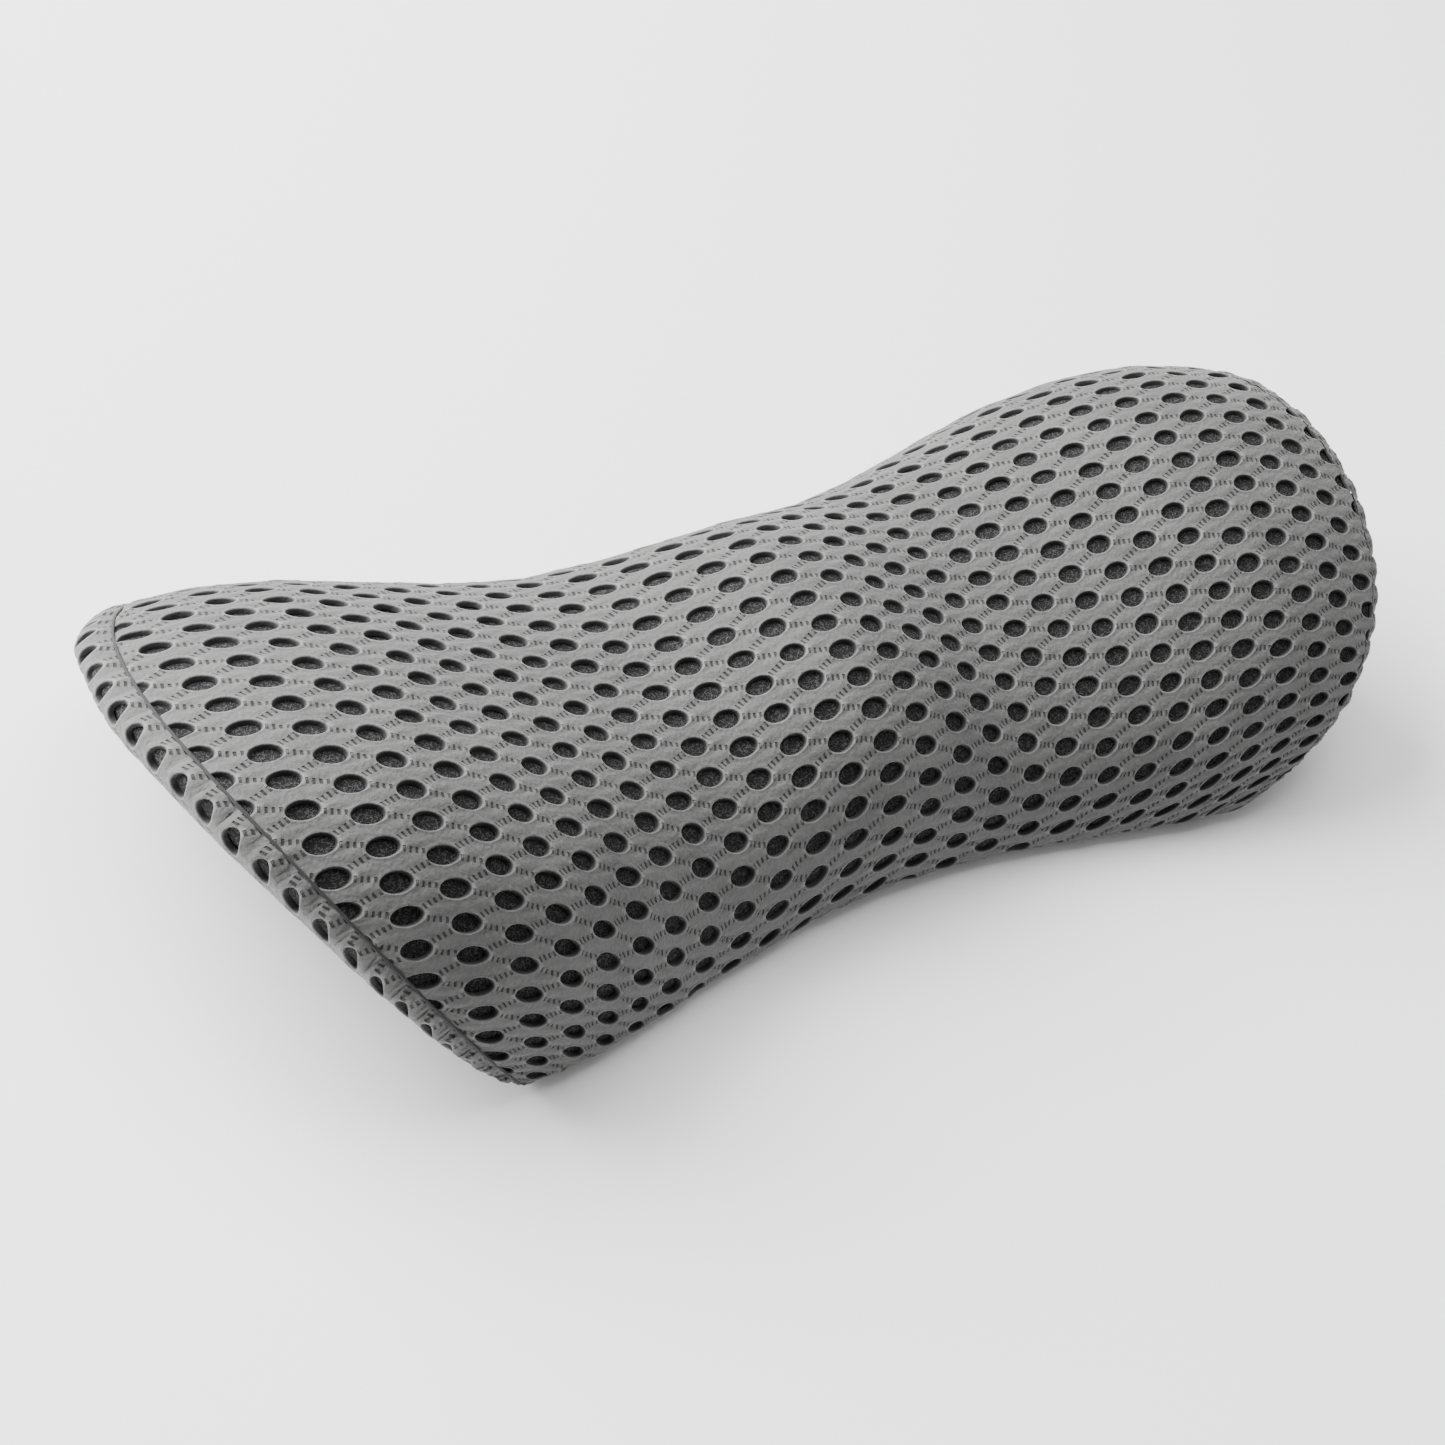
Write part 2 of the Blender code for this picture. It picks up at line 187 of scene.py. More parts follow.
def level_curve(x, knots):
    """Smooth curve through (position, value) knots, level at each of them."""
    value = np.full_like(x, knots[0][1])
    for (x0, v0), (x1, v1) in zip(knots, knots[1:]):
        t = np.clip((x - x0) / (x1 - x0), 0.0, 1.0)
        value = value + (v1 - v0) * t * t * (3.0 - 2.0 * t)
    return value


def arc_angles():
    """Angles of the half section: over the shoulder, then under it to the base edge."""
    over = np.linspace(0.0, math.pi / 2, STEPS_OVER)
    under = np.linspace(0.0, math.pi / 2, STEPS_UNDER)[1:]
    return over, under


def half_section(x):
    """Points of the half cross-sections at ridge stations x, unsided, and their height shares."""
    over, under = arc_angles()
    x = np.asarray(x, float)[:, None]
    reach = np.abs(x) / HALF_LENGTH
    height = level_curve(np.abs(x), CROWN_KNOTS)
    width = level_curve(np.abs(x), WIDTH_KNOTS)
    shoulder = SHOULDER * height
    power = 2.0 / (ROUNDNESS_MIDDLE + (ROUNDNESS_END - ROUNDNESS_MIDDLE) * reach ** 4)
    y_over = width * np.sin(over) ** power
    z_over = shoulder + (height - shoulder) * np.clip(np.cos(over), 0.0, 1.0) ** power
    y_under = width - UNDERCUT * (1.0 - np.cos(under))
    z_under = shoulder * (1.0 - np.sin(under))
    y = np.concatenate([y_over, y_under], axis=1)
    z = np.concatenate([z_over, z_under], axis=1)
    share = z / height
    lean = END_LEAN * (1.0 - share) * reach ** LEAN_POWER
    return np.stack([x - np.sign(x) * lean, y, z], axis=-1), share


def settled(points):
    """Twist about the long axis, ends shifted sideways, and a fuller far side at the left."""
    x, y, z = points[..., 0], points[..., 1], points[..., 2]
    along = x / HALF_LENGTH
    height = level_curve(np.minimum(np.abs(x), HALF_LENGTH), CROWN_KNOTS)
    rise = np.clip((z - FLAT_BELOW) / (height - FLAT_BELOW), 0.0, 1.0)
    fullness = LEFT_FULLNESS * np.clip(y / FULL_WIDTH, 0.0, None) ** 2 * np.clip(-along, 0.0, None)
    side = y + END_SHIFT * along ** 3 + fullness - SIDE_OFFSET
    return np.stack([x, side, z + TWIST * y * along * rise], axis=-1)


def polyline_lengths(points, axis):
    steps = np.linalg.norm(np.diff(points, axis=axis), axis=-1)
    lengths = np.cumsum(steps, axis=axis)
    pad = [(0, 0)] * lengths.ndim
    pad[axis] = (1, 0)
    return np.pad(lengths, pad)


def stretch_interp(at, lengths, values):
    """Linear interpolation that carries on in a straight line past both ends."""
    result = np.interp(at, lengths, values)
    low, high = at < lengths[0], at > lengths[-1]
    slope_low = (values[1] - values[0]) / (lengths[1] - lengths[0])
    slope_high = (values[-1] - values[-2]) / (lengths[-1] - lengths[-2])
    result[low] = values[0] + (at[low] - lengths[0]) * slope_low
    result[high] = values[-1] + (at[high] - lengths[-1]) * slope_high
    return result


def resample(at, lengths, rows):
    """Rows of points read at new distances: rows is (number, coordinates)."""
    return np.stack([stretch_interp(at, lengths, column) for column in rows.T], axis=-1)


# ---------------------------------------------------------------- charts

class Chart:
    """Flat map of a panel: from fabric millimetres to points, normals and distances to its edges."""

    def __init__(self, start, points, margins):
        self.start = np.array(start, float)
        self.shape = np.array(points.shape[:2])
        normals = np.cross(np.gradient(points, axis=0), np.gradient(points, axis=1))
        normals /= np.linalg.norm(normals, axis=-1, keepdims=True) + 1e-12
        facing = np.sum(normals * (points - np.array(INSIDE_POINT)), axis=-1)
        outward = facing[margins.min(axis=-1) > 0].mean()
        self.turn = 1.0 if outward > 0 else -1.0
        self.layers = np.concatenate([points, normals * self.turn, margins], axis=-1)

    def sample(self, flat):
        place = np.clip(flat - self.start, 0.0, self.shape - 1.001)
        cell = place.astype(int)
        part = place - cell
        i, j = cell.T
        s, t = part[:, :1], part[:, 1:]
        near = self.layers[i, j] * (1 - s) + self.layers[i + 1, j] * s
        far = self.layers[i, j + 1] * (1 - s) + self.layers[i + 1, j + 1] * s
        return near * (1 - t) + far * t

    def margins(self, flat):
        return self.sample(flat)[:, 6:]

    def place(self, flat, depth):
        layers = self.sample(flat)
        normals = layers[:, 3:6]
        normals = normals / np.linalg.norm(normals, axis=1, keepdims=True)
        return layers[:, :3] + normals * depth[:, None]


def body_chart():
    """Top panel: u runs along the cushion from its middle, v down the near side from the ridge."""
    stations = np.linspace(-HALF_LENGTH, HALF_LENGTH, STATIONS)
    half, _ = half_section(stations)
    lengths = polyline_lengths(half, 1)
    reach_v = int(lengths[:, -1].max()) + CHART_EDGE
    v = np.arange(reach_v + 1.0)
    tail = half[:, -1:] - np.array([0.0, OVERHANG, 0.0])
    half = np.concatenate([half, tail], axis=1)
    edge = lengths[:, -1]
    lengths = np.concatenate([lengths, edge[:, None] + OVERHANG], axis=1)
    grid = np.stack([resample(v, lengths[k], half[k]) for k in range(len(stations))])
    along = polyline_lengths(grid, 0)
    along -= along[len(stations) // 2]
    reach_u = int(np.abs(along).max()) + CHART_EDGE
    u = np.arange(-reach_u, reach_u + 1.0)
    rows = []
    for j in range(len(v)):
        carried = np.concatenate([grid[:, j], stations[:, None]], axis=1)
        rows.append(resample(u, along[:, j], carried))
    table = np.stack(rows, axis=1)
    start_u, end_u = along[0], along[-1]
    station = np.clip(table[..., 3], -HALF_LENGTH, HALF_LENGTH)
    base = np.interp(station, stations, edge) - v[None]
    margins = np.stack([u[:, None] - start_u[None], end_u[None] - u[:, None], base], axis=-1)
    near = table[..., :3] * np.array([1.0, -1.0, 1.0])
    points = np.concatenate([table[:, :0:-1, :3], near], axis=1)
    margins = np.concatenate([margins[:, :0:-1], margins], axis=1)
    return Chart((-reach_u, -reach_v), settled(points), margins)


def end_surface(end, drops):
    """Points of an end, (column, drop), from the near base edge over the ridge to the far one."""
    half, share = half_section([end * HALF_LENGTH])
    over, under = arc_angles()
    spread = np.concatenate([END_SPREAD * np.sin(over) ** (2.0 / ROUNDNESS_END),
                             END_SPREAD + (1.0 - END_SPREAD) * np.sin(under)])
    half, share = half[0], share[0]
    side = np.concatenate([-np.ones(len(half)), np.ones(len(half) - 1)])
    order = np.concatenate([np.arange(len(half))[::-1], np.arange(1, len(half))])
    seam = half[order] * np.stack([np.ones_like(side), side, np.ones_like(side)], axis=1)
    share, foot = share[order], side * (END_HALF_WIDTH - UNDERCUT) * spread[order]
    drop = drops[None]
    inward = END_LEAN * share[:, None] * drop
    tilt = 1.0 + BULGE_TILT * seam[:, 1:2] / END_HALF_WIDTH
    outward = END_BULGE * tilt * np.sin(math.pi * drop ** BULGE_RISE) * np.sqrt(share)[:, None]
    x = seam[:, :1] + end * (outward - inward)
    y = seam[:, 1:2] + (foot[:, None] - seam[:, 1:2]) * drop
    z = seam[:, 2:] * (1.0 - drop)
    return np.stack([x, y, z], axis=-1)


def end_chart(end):
    """End panel: u runs down from the seam, v along the seam from the ridge to the far side."""
    surface = end_surface(end, np.linspace(0.0, 1.0, END_DROPS))
    seam_length = polyline_lengths(surface[:, 0], 0)
    seam_length -= seam_length[len(seam_length) // 2]
    reach = int(seam_length[-1])
    v = np.arange(-reach - END_CHART_SIDES, reach + END_CHART_SIDES + 1.0)
    rows = [resample(v, seam_length, surface[:, k]) for k in range(surface.shape[1])]
    even = np.stack(rows, axis=1)
    lengths = polyline_lengths(even, 1)
    edge = lengths[:, -1]
    reach_u = int(edge.max()) + END_CHART_EDGE
    u = np.arange(END_CHART_START, reach_u + 1.0)
    tail = even[:, -1:] - np.array([end * OVERHANG, 0.0, 0.0])
    even = np.concatenate([even, tail], axis=1)
    lengths = np.concatenate([lengths, edge[:, None] + OVERHANG], axis=1)
    points = np.stack([resample(u, lengths[k], even[k]) for k in range(len(v))], axis=1)
    base = edge[None] - u[:, None]
    corner = np.broadcast_to((seam_length[-1] - np.abs(v))[None], base.shape)
    seam = np.broadcast_to(u[:, None], base.shape)
    return Chart((u[0], v[0]), settled(points), np.stack([seam, corner, base], axis=-1))


def bottom_chart(side):
    """Half of the flat underside: u along the cushion, v across it."""
    half, _ = half_section(np.linspace(-HALF_LENGTH, HALF_LENGTH, STATIONS))
    edge_x = half[:, -1, 0]
    u = np.arange(-UNDERSIDE_REACH, UNDERSIDE_REACH + 1.0)
    v = np.arange(UNDERSIDE_START, UNDERSIDE_WIDTH + 1.0) * side
    flat_u, flat_v = np.meshgrid(u, np.sort(v), indexing="ij")
    points = np.stack([flat_u, flat_v, np.zeros_like(flat_u)], axis=-1)
    edge = settled(half[:, -1] * np.array([1.0, side, 1.0]))[:, 1] * side
    margins = np.stack([np.interp(flat_u, edge_x, edge) - np.abs(flat_v),
                        edge_x[-1] - np.abs(flat_u), np.abs(flat_v) - ZIP_GAP], axis=-1)
    return Chart((u[0], np.sort(v)[0]), points, margins)


# ---------------------------------------------------------------- mesh cloth, laid out flat

def wobble(flat, seed):
    """Smooth unevenness of hand-sewn cloth, mostly within one unit either way."""
    turn = np.random.default_rng(seed)
    total = np.zeros(len(flat))
    for _ in range(WOBBLE_WAVES):
        wave = turn.uniform(-1.0, 1.0, 2) / turn.uniform(*WOBBLE_LENGTHS)
        total += np.sin(flat @ wave * 2.0 * math.pi + turn.uniform(0.0, 6.3))
    return total * WOBBLE_SCALE


def lattice_cells(low, high, start, pitch, hole, seed):
    """Flat cells of the mesh, each a hole with four rings round it inside a rhombus.

    Vertices hold flat place, height, painted hole shade (1 in a hole), lattice place and rim, a painted
    highlight (1 on the lip).
    """
    half = np.array(pitch) / 2.0
    low_i, low_j = np.floor((np.array(low) - start) / half).astype(int)
    high_i, high_j = np.ceil((np.array(high) - start) / half).astype(int)
    i, j = np.meshgrid(np.arange(low_i, high_i + 1), np.arange(low_j, high_j + 1), indexing="ij")
    on_lattice = (i + j) % 2 == 0
    centres = np.stack([i[on_lattice], j[on_lattice]], axis=1)
    turn = np.random.default_rng(seed)
    n = 4 * STEPS_PER_SIDE
    step = np.arange(n)
    quarter, part = step // STEPS_PER_SIDE, step % STEPS_PER_SIDE
    across = np.where(quarter % 2 == 0, STEPS_PER_SIDE - part, part)
    signs = np.array([(1, 1), (-1, 1), (-1, -1), (1, -1)])[quarter]
    rim = signs * np.stack([across, STEPS_PER_SIDE - across], axis=1)
    angle = (quarter + part / STEPS_PER_SIDE) * math.pi / 2
    unit = np.stack([np.cos(angle), np.sin(angle)], axis=1)
    oval = np.sign(unit) * np.abs(unit) ** (2.0 / HOLE_SQUARENESS) * np.array(hole)
    size = 1.0 + turn.uniform(-SIZE_SPREAD, SIZE_SPREAD, (len(centres), 1, 2))
    shift = turn.uniform(-PLACE_SPREAD, PLACE_SPREAD, (len(centres), 1, 2))
    place = (np.array(start) + centres * half)[:, None]
    edge = place + (rim / STEPS_PER_SIDE * half)[None]
    inner = place + shift
    lip = inner + oval * LIP_SCALE * size
    rings = [
        # Floor and throat rings carry painted shade, full at the hole's floor.
        (inner + oval * FLOOR_SCALE * size, -MESH_DEPTH, 1.0, 0.0),
        (inner + oval * THROAT_SCALE * size, -THROAT_DEPTH, THROAT_PAINTED_SHADE, 0.0),
        # Lip ring carries a painted highlight along the hole's edge.
        (lip, LIP_HEIGHT, 0.0, 1.0),
        (lip * (1.0 - PAD_SHARE) + edge * PAD_SHARE, PAD_HEIGHT * PAD_RISE, 0.0, 0.0),
    ]
    flat = np.concatenate([np.broadcast_to(ring[0], edge.shape) for ring in rings], axis=1)
    depth, painted_hole_shade, painted_lip_highlight = (
        np.concatenate([np.full(edge.shape[:2], ring[k]) for ring in rings], axis=1)
        for k in (1, 2, 3))
    link = np.sin(math.pi * part / STEPS_PER_SIDE) ** 2
    depth[:, -n:] -= PAD_LINK_SHARE * LINK_DIP * link
    count = len(centres)
    own = np.arange(count * 4 * n).reshape(count, 4, n)
    key = centres[:, None] * STEPS_PER_SIDE + rim[None]
    _, first, back = np.unique(key.reshape(-1, 2), axis=0, return_index=True, return_inverse=True)
    shared = back.reshape(count, n) + count * 4 * n
    level = np.broadcast_to(PAD_HEIGHT - (PAD_HEIGHT + LINK_DIP) * link, (count, n))
    level = level.reshape(-1)[first]
    flat = np.concatenate([flat.reshape(-1, 2), edge.reshape(-1, 2)[first]])
    depth = np.concatenate([depth.reshape(-1), level])
    painted_hole_shade = np.concatenate([painted_hole_shade.reshape(-1), np.zeros(len(first))])
    painted_lip_highlight = np.concatenate([painted_lip_highlight.reshape(-1), np.zeros(len(first))])
    ring = np.concatenate([own, shared[:, None]], axis=1)
    following = np.roll(ring, -1, axis=2)
    quads = np.stack([ring[:, :-1], ring[:, 1:], following[:, 1:], following[:, :-1]], axis=-1)
    lattice = (flat - start) / half
    return np.column_stack([flat, depth, painted_hole_shade, lattice, painted_lip_highlight]), quads.reshape(-1, 4)


def plain_cells(low, high, step):
    """Even flat grid of quads."""
    u = np.arange(low[0], high[0] + step, step)
    v = np.arange(low[1], high[1] + step, step)
    flat = np.stack(np.meshgrid(u, v, indexing="ij"), axis=-1).reshape(-1, 2)
    number = np.arange(len(flat)).reshape(len(u), len(v))
    quads = np.stack([number[:-1, :-1], number[1:, :-1], number[1:, 1:], number[:-1, 1:]], axis=-1)
    return flat, quads.reshape(-1, 4)


def trimmed(verts, faces, field):
    """Cuts a flat mesh along field = 0 and keeps the positive side. Faces are lists of indices."""
    inside = field > 0.0
    verts, field = list(verts), list(field)
    cuts, kept = {}, []

    def crossing(a, b):
        key = (min(a, b), max(a, b))
        if key not in cuts:
            t = field[a] / (field[a] - field[b])
            cuts[key] = len(verts)
            verts.append(verts[a] * (1.0 - t) + verts[b] * t)
            field.append(0.0)
        return cuts[key]

    for face in faces:
        states = [inside[corner] for corner in face]
        if all(states):
            kept.append(face)
        elif any(states):
            loop = []
            for a, b in zip(face, face[1:] + face[:1]):
                if inside[a]:
                    loop.append(a)
                if inside[a] != inside[b]:
                    loop.append(crossing(a, b))
            if len(loop) > 2:
                kept.append(loop)
    return np.array(verts), kept


def fit_to_panel(chart, verts, quads, insets):
    """Trims flat cells to the chart's edges, each drawn in by its inset."""
    margins = chart.margins(verts[:, :2]) - insets
    whole = margins.min(axis=1)
    reach = whole[quads]
    quads = quads[reach.max(axis=1) > 0.0]
    faces = quads.tolist()
    for number in range(len(insets)):
        field = chart.margins(verts[:, :2])[:, number] - insets[number]
        verts, faces = trimmed(verts, faces, field)
    used = np.unique(np.concatenate([np.array(face) for face in faces]))
    number = np.full(len(verts), -1)
    number[used] = np.arange(len(used))
    return verts[used], [[int(number[corner]) for corner in face] for face in faces]


def seam_relief(distance, along, seed, dip):
    """How far the cloth dips at a seam, with small puckers along it that scale with the dip."""
    turn = np.random.default_rng(seed)
    drift = PUCKER_DRIFT * np.sin(along / PUCKER_DRIFT_LENGTH + turn.uniform(0, 6))
    phase = 2.0 * math.pi * along / PUCKER_PITCH + drift
    pucker = PUCKER_DEPTH * (0.5 + 0.5 * np.sin(phase)) * np.exp(-(distance / PUCKER_REACH) ** 2)
    return -dip * np.exp(-(distance / SEAM_REACH) ** 2) - pucker * dip / SEAM_DIP


# ---------------------------------------------------------------- objects

def make_mesh(name, points, faces, material, flip=False):
    """Object from points in millimetres and faces of any number of corners."""
    mesh = bpy.data.meshes.new(name)
    if flip:
        faces = [face[::-1] for face in faces]
    counts = np.array([len(face) for face in faces])
    corners = np.concatenate([np.asarray(face) for face in faces])
    mesh.vertices.add(len(points))
    mesh.vertices.foreach_set("co", (np.asarray(points) * MM).astype(np.float32).reshape(-1))
    mesh.loops.add(len(corners))
    mesh.loops.foreach_set("vertex_index", corners.astype(np.int32))
    mesh.polygons.add(len(faces))
    mesh.polygons.foreach_set("loop_start", (np.cumsum(counts) - counts).astype(np.int32))
    mesh.polygons.foreach_set("loop_total", counts.astype(np.int32))
    mesh.update(calc_edges=True)
    mesh.shade_smooth()
    made = bpy.data.objects.new(name, mesh)
    made.data.materials.append(material)
    bpy.context.scene.collection.objects.link(made)
    return made


def add_uv(made, name, values):
    """Writes a value pair per vertex as a UV map."""
    layer = made.data.uv_layers.new(name=name)
    corners = np.empty(len(made.data.loops), np.int32)
    made.data.loops.foreach_get("vertex_index", corners)
    layer.data.foreach_set("uv", values[corners].astype(np.float32).reshape(-1))


def add_value(made, name, values):
    layer = made.data.attributes.new(name, "FLOAT", "POINT")
    layer.data.foreach_set("value", values.astype(np.float32))


def mesh_panel(name, chart, start, pitch, hole, insets, seams, material, seed, depth_shift=0.0):
    """One panel of perforated cloth. Seams are (margin number, direction along it, dip)."""
    verts, quads = lattice_cells(chart.start, chart.start + chart.shape, start, pitch, hole, seed)
    verts, faces = fit_to_panel(chart, verts, quads, insets)
    margins = chart.margins(verts[:, :2])
    depth = verts[:, 2] + WOBBLE_DEPTH * wobble(verts[:, :2], seed) + depth_shift
    for number, along, dip in seams:
        depth = depth + seam_relief(margins[:, number], verts[:, along], seed + number, dip)
    face = make_mesh(name, chart.place(verts[:, :2], depth), faces, material, chart.turn < 0)
    add_uv(face, "lattice", verts[:, 4:6])
    # Share of painted shade inside the holes, per vertex.
    add_value(face, "painted_hole_shade", verts[:, 3])
    # Share of painted highlight on the hole lips, per vertex.
    add_value(face, "rim", verts[:, 6])
    return face


def plain_panel(name, chart, depth, insets, material, step=PLAIN_STEP):
    """A smooth layer without holes, at a depth below the cover's surface."""
    verts, quads = plain_cells(chart.start, chart.start + chart.shape, step)
    verts, faces = fit_to_panel(chart, verts, quads, insets)
    points = chart.place(verts, np.full(len(verts), -depth))
    return make_mesh(name, points, faces, material, chart.turn < 0)


def tube_cells(line, outward, radius):
    """Points and faces of a closed round tube along a line, with its first side facing outward."""
    along = np.gradient(line, axis=0)
    along /= np.linalg.norm(along, axis=1, keepdims=True)
    across = np.cross(along, outward)
    across /= np.linalg.norm(across, axis=1, keepdims=True)
    outward = np.cross(across, along)
    turns = np.arange(TUBE_SIDES) * 2.0 * math.pi / TUBE_SIDES
    rings = (line[:, None] + radius * (np.cos(turns)[None, :, None] * outward[:, None]
                                       + np.sin(turns)[None, :, None] * across[:, None]))
    number = np.arange(len(line) * TUBE_SIDES).reshape(len(line), TUBE_SIDES)
    beside = np.roll(number, -1, axis=1)
    quads = np.stack([number[:-1], beside[:-1], beside[1:], number[1:]], axis=-1).reshape(-1, 4)
    caps = [number[0].tolist()[::-1], number[-1].tolist()]
    return rings.reshape(-1, 3), quads.tolist() + caps


def seam_thread(name, chart, material):
    """Thread in the groove of an end seam; its dark colour is partly the thread's own and partly painted
    shade of the groove.
    """
    reach = chart.shape[1] / 2.0 - SEAM_ENDS
    along = np.arange(-reach, reach, THREAD_STEP)
    flat = np.column_stack([np.zeros_like(along), along])
    line = chart.place(flat, np.full(len(flat), -THREAD_DEPTH))
    outward = chart.place(flat, np.full(len(flat), 1.0 - THREAD_DEPTH)) - line
    points, faces = tube_cells(line, outward, THREAD_RADIUS)
    return make_mesh(name, points, faces, material)


def base_edge():
    """Outline of the flat base: the near side, the right end, the far side and the left end."""
    half, _ = half_section(np.linspace(-HALF_LENGTH, HALF_LENGTH, EDGE_STATIONS))
    far = settled(half[:, -1])
    near = settled(half[:, -1] * np.array([1.0, -1.0, 1.0]))
    share = np.linspace(0.0, 1.0, EDGE_STEPS)[1:-1, None]
    right = near[-1] * (1.0 - share) + far[-1] * share
    left = far[0] * (1.0 - share) + near[0] * share
    return np.concatenate([near, right, far[::-1], left, near[:1]])


def swept(name, profile, low, high, along, material):
    """Sheet with a (sideways, height) profile, swept along X (along 0) or Y (along 1)."""
    steps = np.arange(low, high + SWEEP_STEP, SWEEP_STEP).clip(low, high)
    profile = np.array(profile)
    points = np.empty((len(steps), len(profile), 3))
    points[..., along] = steps[:, None]
    points[..., 1 - along] = profile[None, :, 0]
    points[..., 2] = profile[None, :, 1]
    number = np.arange(len(steps) * len(profile)).reshape(len(steps), len(profile))
    quads = np.stack([number[:-1, :-1], number[1:, :-1], number[1:, 1:], number[:-1, 1:]], axis=-1)
    return make_mesh(name, points.reshape(-1, 3), quads.reshape(-1, 4).tolist(), material)


def stitch_row(name, low, high, side_place, height, material):
    """Row of separate stitches along X."""
    points, faces = [], []
    for start in np.arange(low, high, STITCH_PITCH):
        share = np.linspace(0.0, 1.0, STITCH_POINTS)
        line = np.column_stack([start + STITCH_LENGTH * share, np.full(STITCH_POINTS, side_place),
                                height - STITCH_RISE * np.sin(math.pi * share)])
        ring, cells = tube_cells(line, np.tile(DOWN, (STITCH_POINTS, 1)), STITCH_RADIUS)
        faces += [[corner + len(points) * len(ring) for corner in cell] for cell in cells]
        points.append(ring)
    return make_mesh(name, np.concatenate(points), faces, material)


def nylon_coil(name, low, high, side, material):
    """Spiral of one side of the zip, whose inner loops hook past the middle between the other's."""
    edges = np.sort([side * COIL_HOOK, side * np.abs([low[1], high[1]]).max()])
    middle, size = (low + high) / 2.0, (high - low) / 2.0
    middle[1], size[1] = edges.mean(), np.diff(edges)[0] / 2.0
    start = low[0] + COIL_WIRE + (COIL_PITCH / 2.0 if side > 0 else 0.0)
    turns = (high[0] - COIL_WIRE - start) / COIL_PITCH
    angle = np.linspace(0.0, 2.0 * math.pi * turns, int(turns * COIL_POINTS))
    line = np.column_stack([
        start + COIL_PITCH * angle / (2.0 * math.pi),
        middle[1] + side * (size[1] - COIL_WIRE) * np.cos(angle),
        middle[2] + (size[2] - COIL_WIRE) * np.sin(angle)])
    outward = np.column_stack([np.zeros_like(angle), side * np.cos(angle), np.sin(angle)])
    points, faces = tube_cells(line, outward, COIL_WIRE)
    return make_mesh(name, points, faces, material)


# ---------------------------------------------------------------- materials

class Shading:
    """A material under construction, with short calls for its nodes."""

    def __init__(self, name, roughness, sheen=0.0, metallic=0.0, specular=0.5):
        self.material = bpy.data.materials.new(name)
        self.material.use_nodes = True
        self.tree = self.material.node_tree
        self.shader = self.tree.nodes["Principled BSDF"]
        self.shader.inputs["Roughness"].default_value = roughness
        self.shader.inputs["Metallic"].default_value = metallic
        self.shader.inputs["Specular IOR Level"].default_value = specular
        self.shader.inputs["Sheen Weight"].default_value = sheen

    def feed(self, socket, value):
        if isinstance(value, (int, float)):
            socket.default_value = value
        elif isinstance(value, tuple):
            socket.default_value = (*value, 1.0)
        else:
            self.tree.links.new(value, socket)

    def math(self, operation, a, b=0.0, c=None):
        node = self.tree.nodes.new("ShaderNodeMath")
        node.operation = operation
        self.feed(node.inputs[0], a)
        self.feed(node.inputs[1], b)
        if c is not None:
            self.feed(node.inputs[2], c)
        return node.outputs[0]

    def mix(self, share, a, b):
        node = self.tree.nodes.new("ShaderNodeMix")
        node.data_type = "RGBA"
        self.feed(node.inputs["Factor"], share)
        self.feed(node.inputs["A"], a)
        self.feed(node.inputs["B"], b)
        return node.outputs["Result"]

    def ramp(self, value, low, high):
        """Goes smoothly from 0 at low to 1 at high."""
        node = self.tree.nodes.new("ShaderNodeMapRange")
        node.interpolation_type = "SMOOTHSTEP"
        self.feed(node.inputs["Value"], value)
        self.feed(node.inputs["From Min"], low)
        self.feed(node.inputs["From Max"], high)
        return node.outputs["Result"]

    def uv(self, name):
        node = self.tree.nodes.new("ShaderNodeUVMap")
        node.uv_map = name
        split = self.tree.nodes.new("ShaderNodeSeparateXYZ")
        self.tree.links.new(node.outputs[0], split.inputs[0])
        return split.outputs[0], split.outputs[1]

    def place(self):
        node = self.tree.nodes.new("ShaderNodeTexCoord")
        return node.outputs["Object"]

    def value(self, name):
        node = self.tree.nodes.new("ShaderNodeAttribute")
        node.attribute_name = name
        return node.outputs["Fac"]

    def noise(self, vector, scale, detail=3.0):
        node = self.tree.nodes.new("ShaderNodeTexNoise")
        self.tree.links.new(vector, node.inputs["Vector"])
        node.inputs["Scale"].default_value = scale
        node.inputs["Detail"].default_value = detail
        return node.outputs[0]

    def wave(self, vector, scale, distortion):
        node = self.tree.nodes.new("ShaderNodeTexWave")
        node.bands_direction = "X"
        self.tree.links.new(vector, node.inputs["Vector"])
        node.inputs["Scale"].default_value = scale
        node.inputs["Distortion"].default_value = distortion
        return node.outputs[1]

    def bump(self, height, distance, strength):
        node = self.tree.nodes.new("ShaderNodeBump")
        node.inputs["Strength"].default_value = strength
        node.inputs["Distance"].default_value = distance
        self.tree.links.new(height, node.inputs["Height"])
        self.tree.links.new(node.outputs[0], self.shader.inputs["Normal"])

    def colour(self, value):
        self.feed(self.shader.inputs["Base Color"], value)

    def roughness(self, value):
        self.feed(self.shader.inputs["Roughness"], value)


# Ticks along the links between holes: places and widths are shares of a link.
STROKES = 4
STROKE_FIRST = 0.335
STROKE_STEP = 0.11
STROKE_EDGES = (-0.25, 0.7)
LINK_SLANT = 0.786
LINK_HALF_WIDTH = 0.11
LINK_CORE = 0.7

# Cloth and metal: noise scales are per metre, and bump heights are in metres.
YARN_SCALE = 900.0
PATCH_SCALE = 35.0
YARN_SHARE = 0.55
TICK_STRENGTH = 0.88
TICK_SHADE = 0.12
TICK_RELIEF = -1.6
